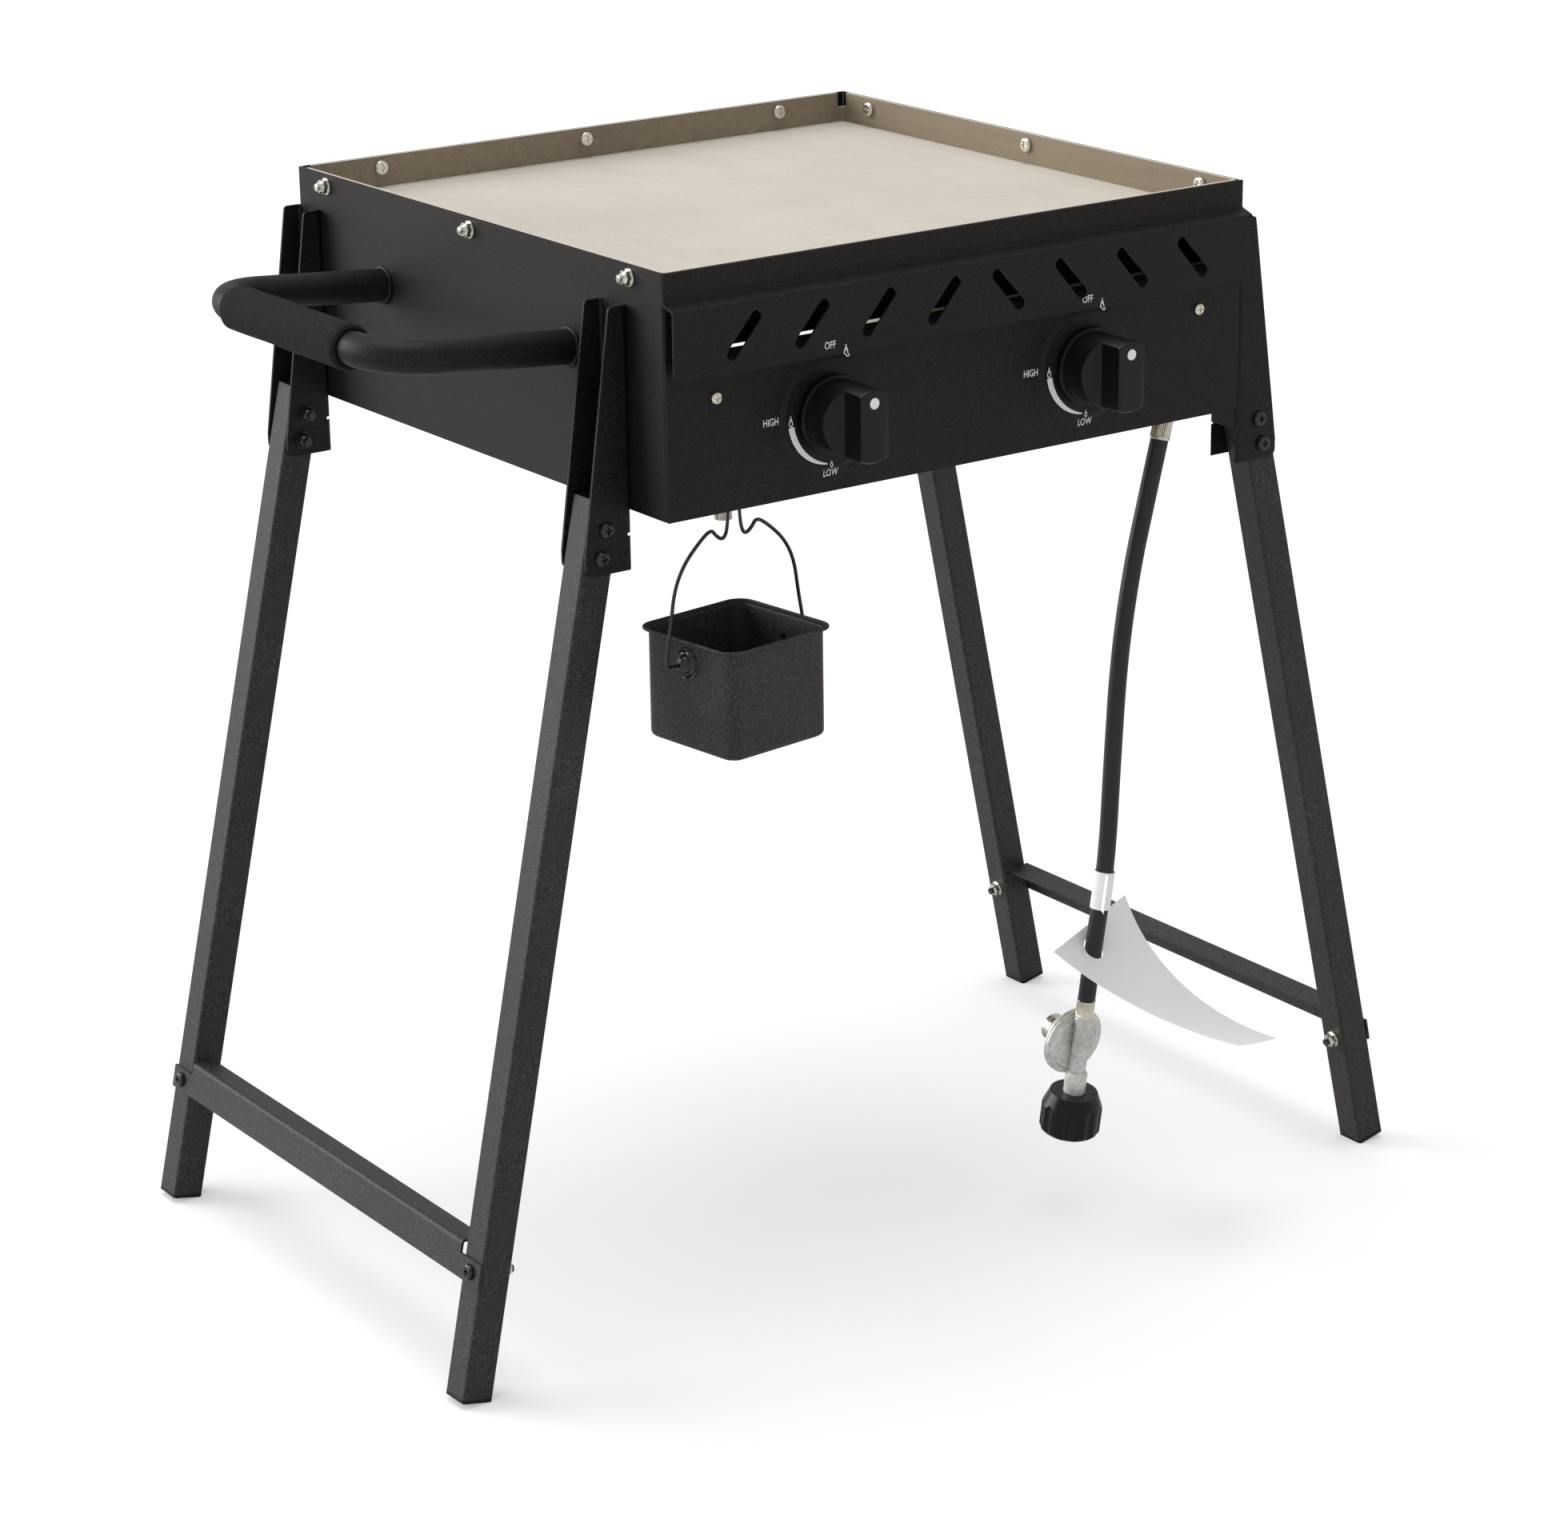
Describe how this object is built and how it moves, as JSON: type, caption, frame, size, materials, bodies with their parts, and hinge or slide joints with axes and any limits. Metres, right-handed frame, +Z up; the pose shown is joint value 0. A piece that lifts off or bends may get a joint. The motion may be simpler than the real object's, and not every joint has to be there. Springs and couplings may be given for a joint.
{
  "type": "portable gas griddle",
  "caption": "Gas griddle on splayed square-tube legs, with a rimmed steel plate, rotary gas knobs, side handle, hanging grease bucket, and a hose with regulator.",
  "frame": {"origin": "on the floor under the middle of the outline, hose and what hangs on it left out", "axes": "+X to the right as the cook faces the knobs, +Y away from the cook, +Z up"},
  "size_m": [0.8628, 0.6273, 0.82],
  "materials": {
    "black_coat": "satin powder coat",
    "griddle_steel": "rolled steel, matt",
    "black_fastener": "black zinc, gloss",
    "zinc_fastener": "yellow zinc plate",
    "nickel": "nickel plate",
    "die_cast_zinc": "die cast",
    "brass": "machined",
    "steel_tube": "mill finish",
    "knob_plastic": "satin",
    "cap_plastic": "matt",
    "nut_plastic": "satin",
    "grip_foam": "foam",
    "hose_rubber": "satin",
    "paper": "matt card"
  },
  "bodies": {
    "root": {"left_side_panel": "black_coat", "right_side_panel": "black_coat", "rear_panel": "black_coat", "front_guard": "black_coat", "control_panel": "black_coat", "heat_baffle": "black_coat", "left_front_bracket": "black_coat", "left_rear_bracket": "black_coat", "right_front_bracket": "black_coat", "right_rear_bracket": "black_coat", "left_front_leg": "black_coat", "left_rear_leg": "black_coat", "right_front_leg": "black_coat", "right_rear_leg": "black_coat", "left_leg_brace": "black_coat", "right_leg_brace": "black_coat", "handle_tube": "black_coat", "griddle_plate": "griddle_steel", "bracket_rivets": "black_fastener", "leg_bolts": "black_fastener", "leg_washers": "black_fastener", "leg_nuts": "black_fastener", "brace_bolts": "black_fastener", "rim_bolts": "zinc_fastener", "flange_nuts": "zinc_fastener", "short_screws": "nickel", "top_ferrule": "nickel", "end_ferrule": "nickel", "regulator_cap": "nickel", "valve_screws": "nickel", "handle_screws": "nickel", "regulator_body": "die_cast_zinc", "left_valve_body": "die_cast_zinc", "right_valve_body": "die_cast_zinc", "outlet_nipple": "brass", "gas_jets": "brass", "gas_inlet_elbow": "brass", "grease_spout": "steel_tube", "manifold_pipe": "steel_tube", "manifold_clamps": "steel_tube", "left_burner": "steel_tube", "right_burner": "steel_tube", "burner_rails": "steel_tube", "gas_rail": "steel_tube", "foot_caps": "cap_plastic", "handle_plugs": "cap_plastic", "handle_grip": "grip_foam", "gas_hose": "hose_rubber", "hose_sleeve": "paper", "hose_tag": "paper"},
    "left_valve": {"left_valve_plug": "brass"},
    "left_knob": {"left_knob": "knob_plastic", "left_knob_stem": "brass"},
    "right_valve": {"right_valve_plug": "brass"},
    "right_knob": {"right_knob": "knob_plastic", "right_knob_stem": "brass"},
    "bail": {"bucket_bail": "black_coat"},
    "bucket": {"grease_bucket": "black_coat", "bucket_ears": "black_coat"},
    "coupling_nut": {"coupling_nut": "nut_plastic"}
  },
  "joints": [
    {"name": "left_knob_turn", "type": "hinge", "parent": "root", "child": "left_valve", "pos_m": [-0.122, -0.2279, 0.702], "axis": [0, -1, 0], "range_deg": [0, 180]},
    {"name": "left_knob_push", "type": "slide", "parent": "left_valve", "child": "left_knob", "axis": [0, 1, 0], "range_m": [0, 0.003], "stiffness_N_per_m": 600, "springref_m": -0.002},
    {"name": "right_knob_turn", "type": "hinge", "parent": "root", "child": "right_valve", "pos_m": [0.11, -0.2279, 0.702], "axis": [0, -1, 0], "range_deg": [0, 180]},
    {"name": "right_knob_push", "type": "slide", "parent": "right_valve", "child": "right_knob", "axis": [0, 1, 0], "range_m": [0, 0.003], "stiffness_N_per_m": 600, "springref_m": -0.002},
    {"name": "bail_swing", "type": "hinge", "parent": "root", "child": "bail", "pos_m": [-0.2, -0.2199, 0.65315], "axis": [0.9921, 0.1253, 0], "range_deg": [-25, 12]},
    {"name": "bucket_swing", "type": "hinge", "parent": "bail", "child": "bucket", "pos_m": [-0.2, -0.2199, 0.541], "axis": [0.9921, 0.1253, 0], "range_deg": [-50, 50]},
    {"name": "coupling_nut_turn", "type": "hinge", "parent": "root", "child": "coupling_nut", "pos_m": [0.13715, -0.18815, 0.086], "axis": [0.0278, -0.1389, 0.9899], "continuous": true}
  ]
}
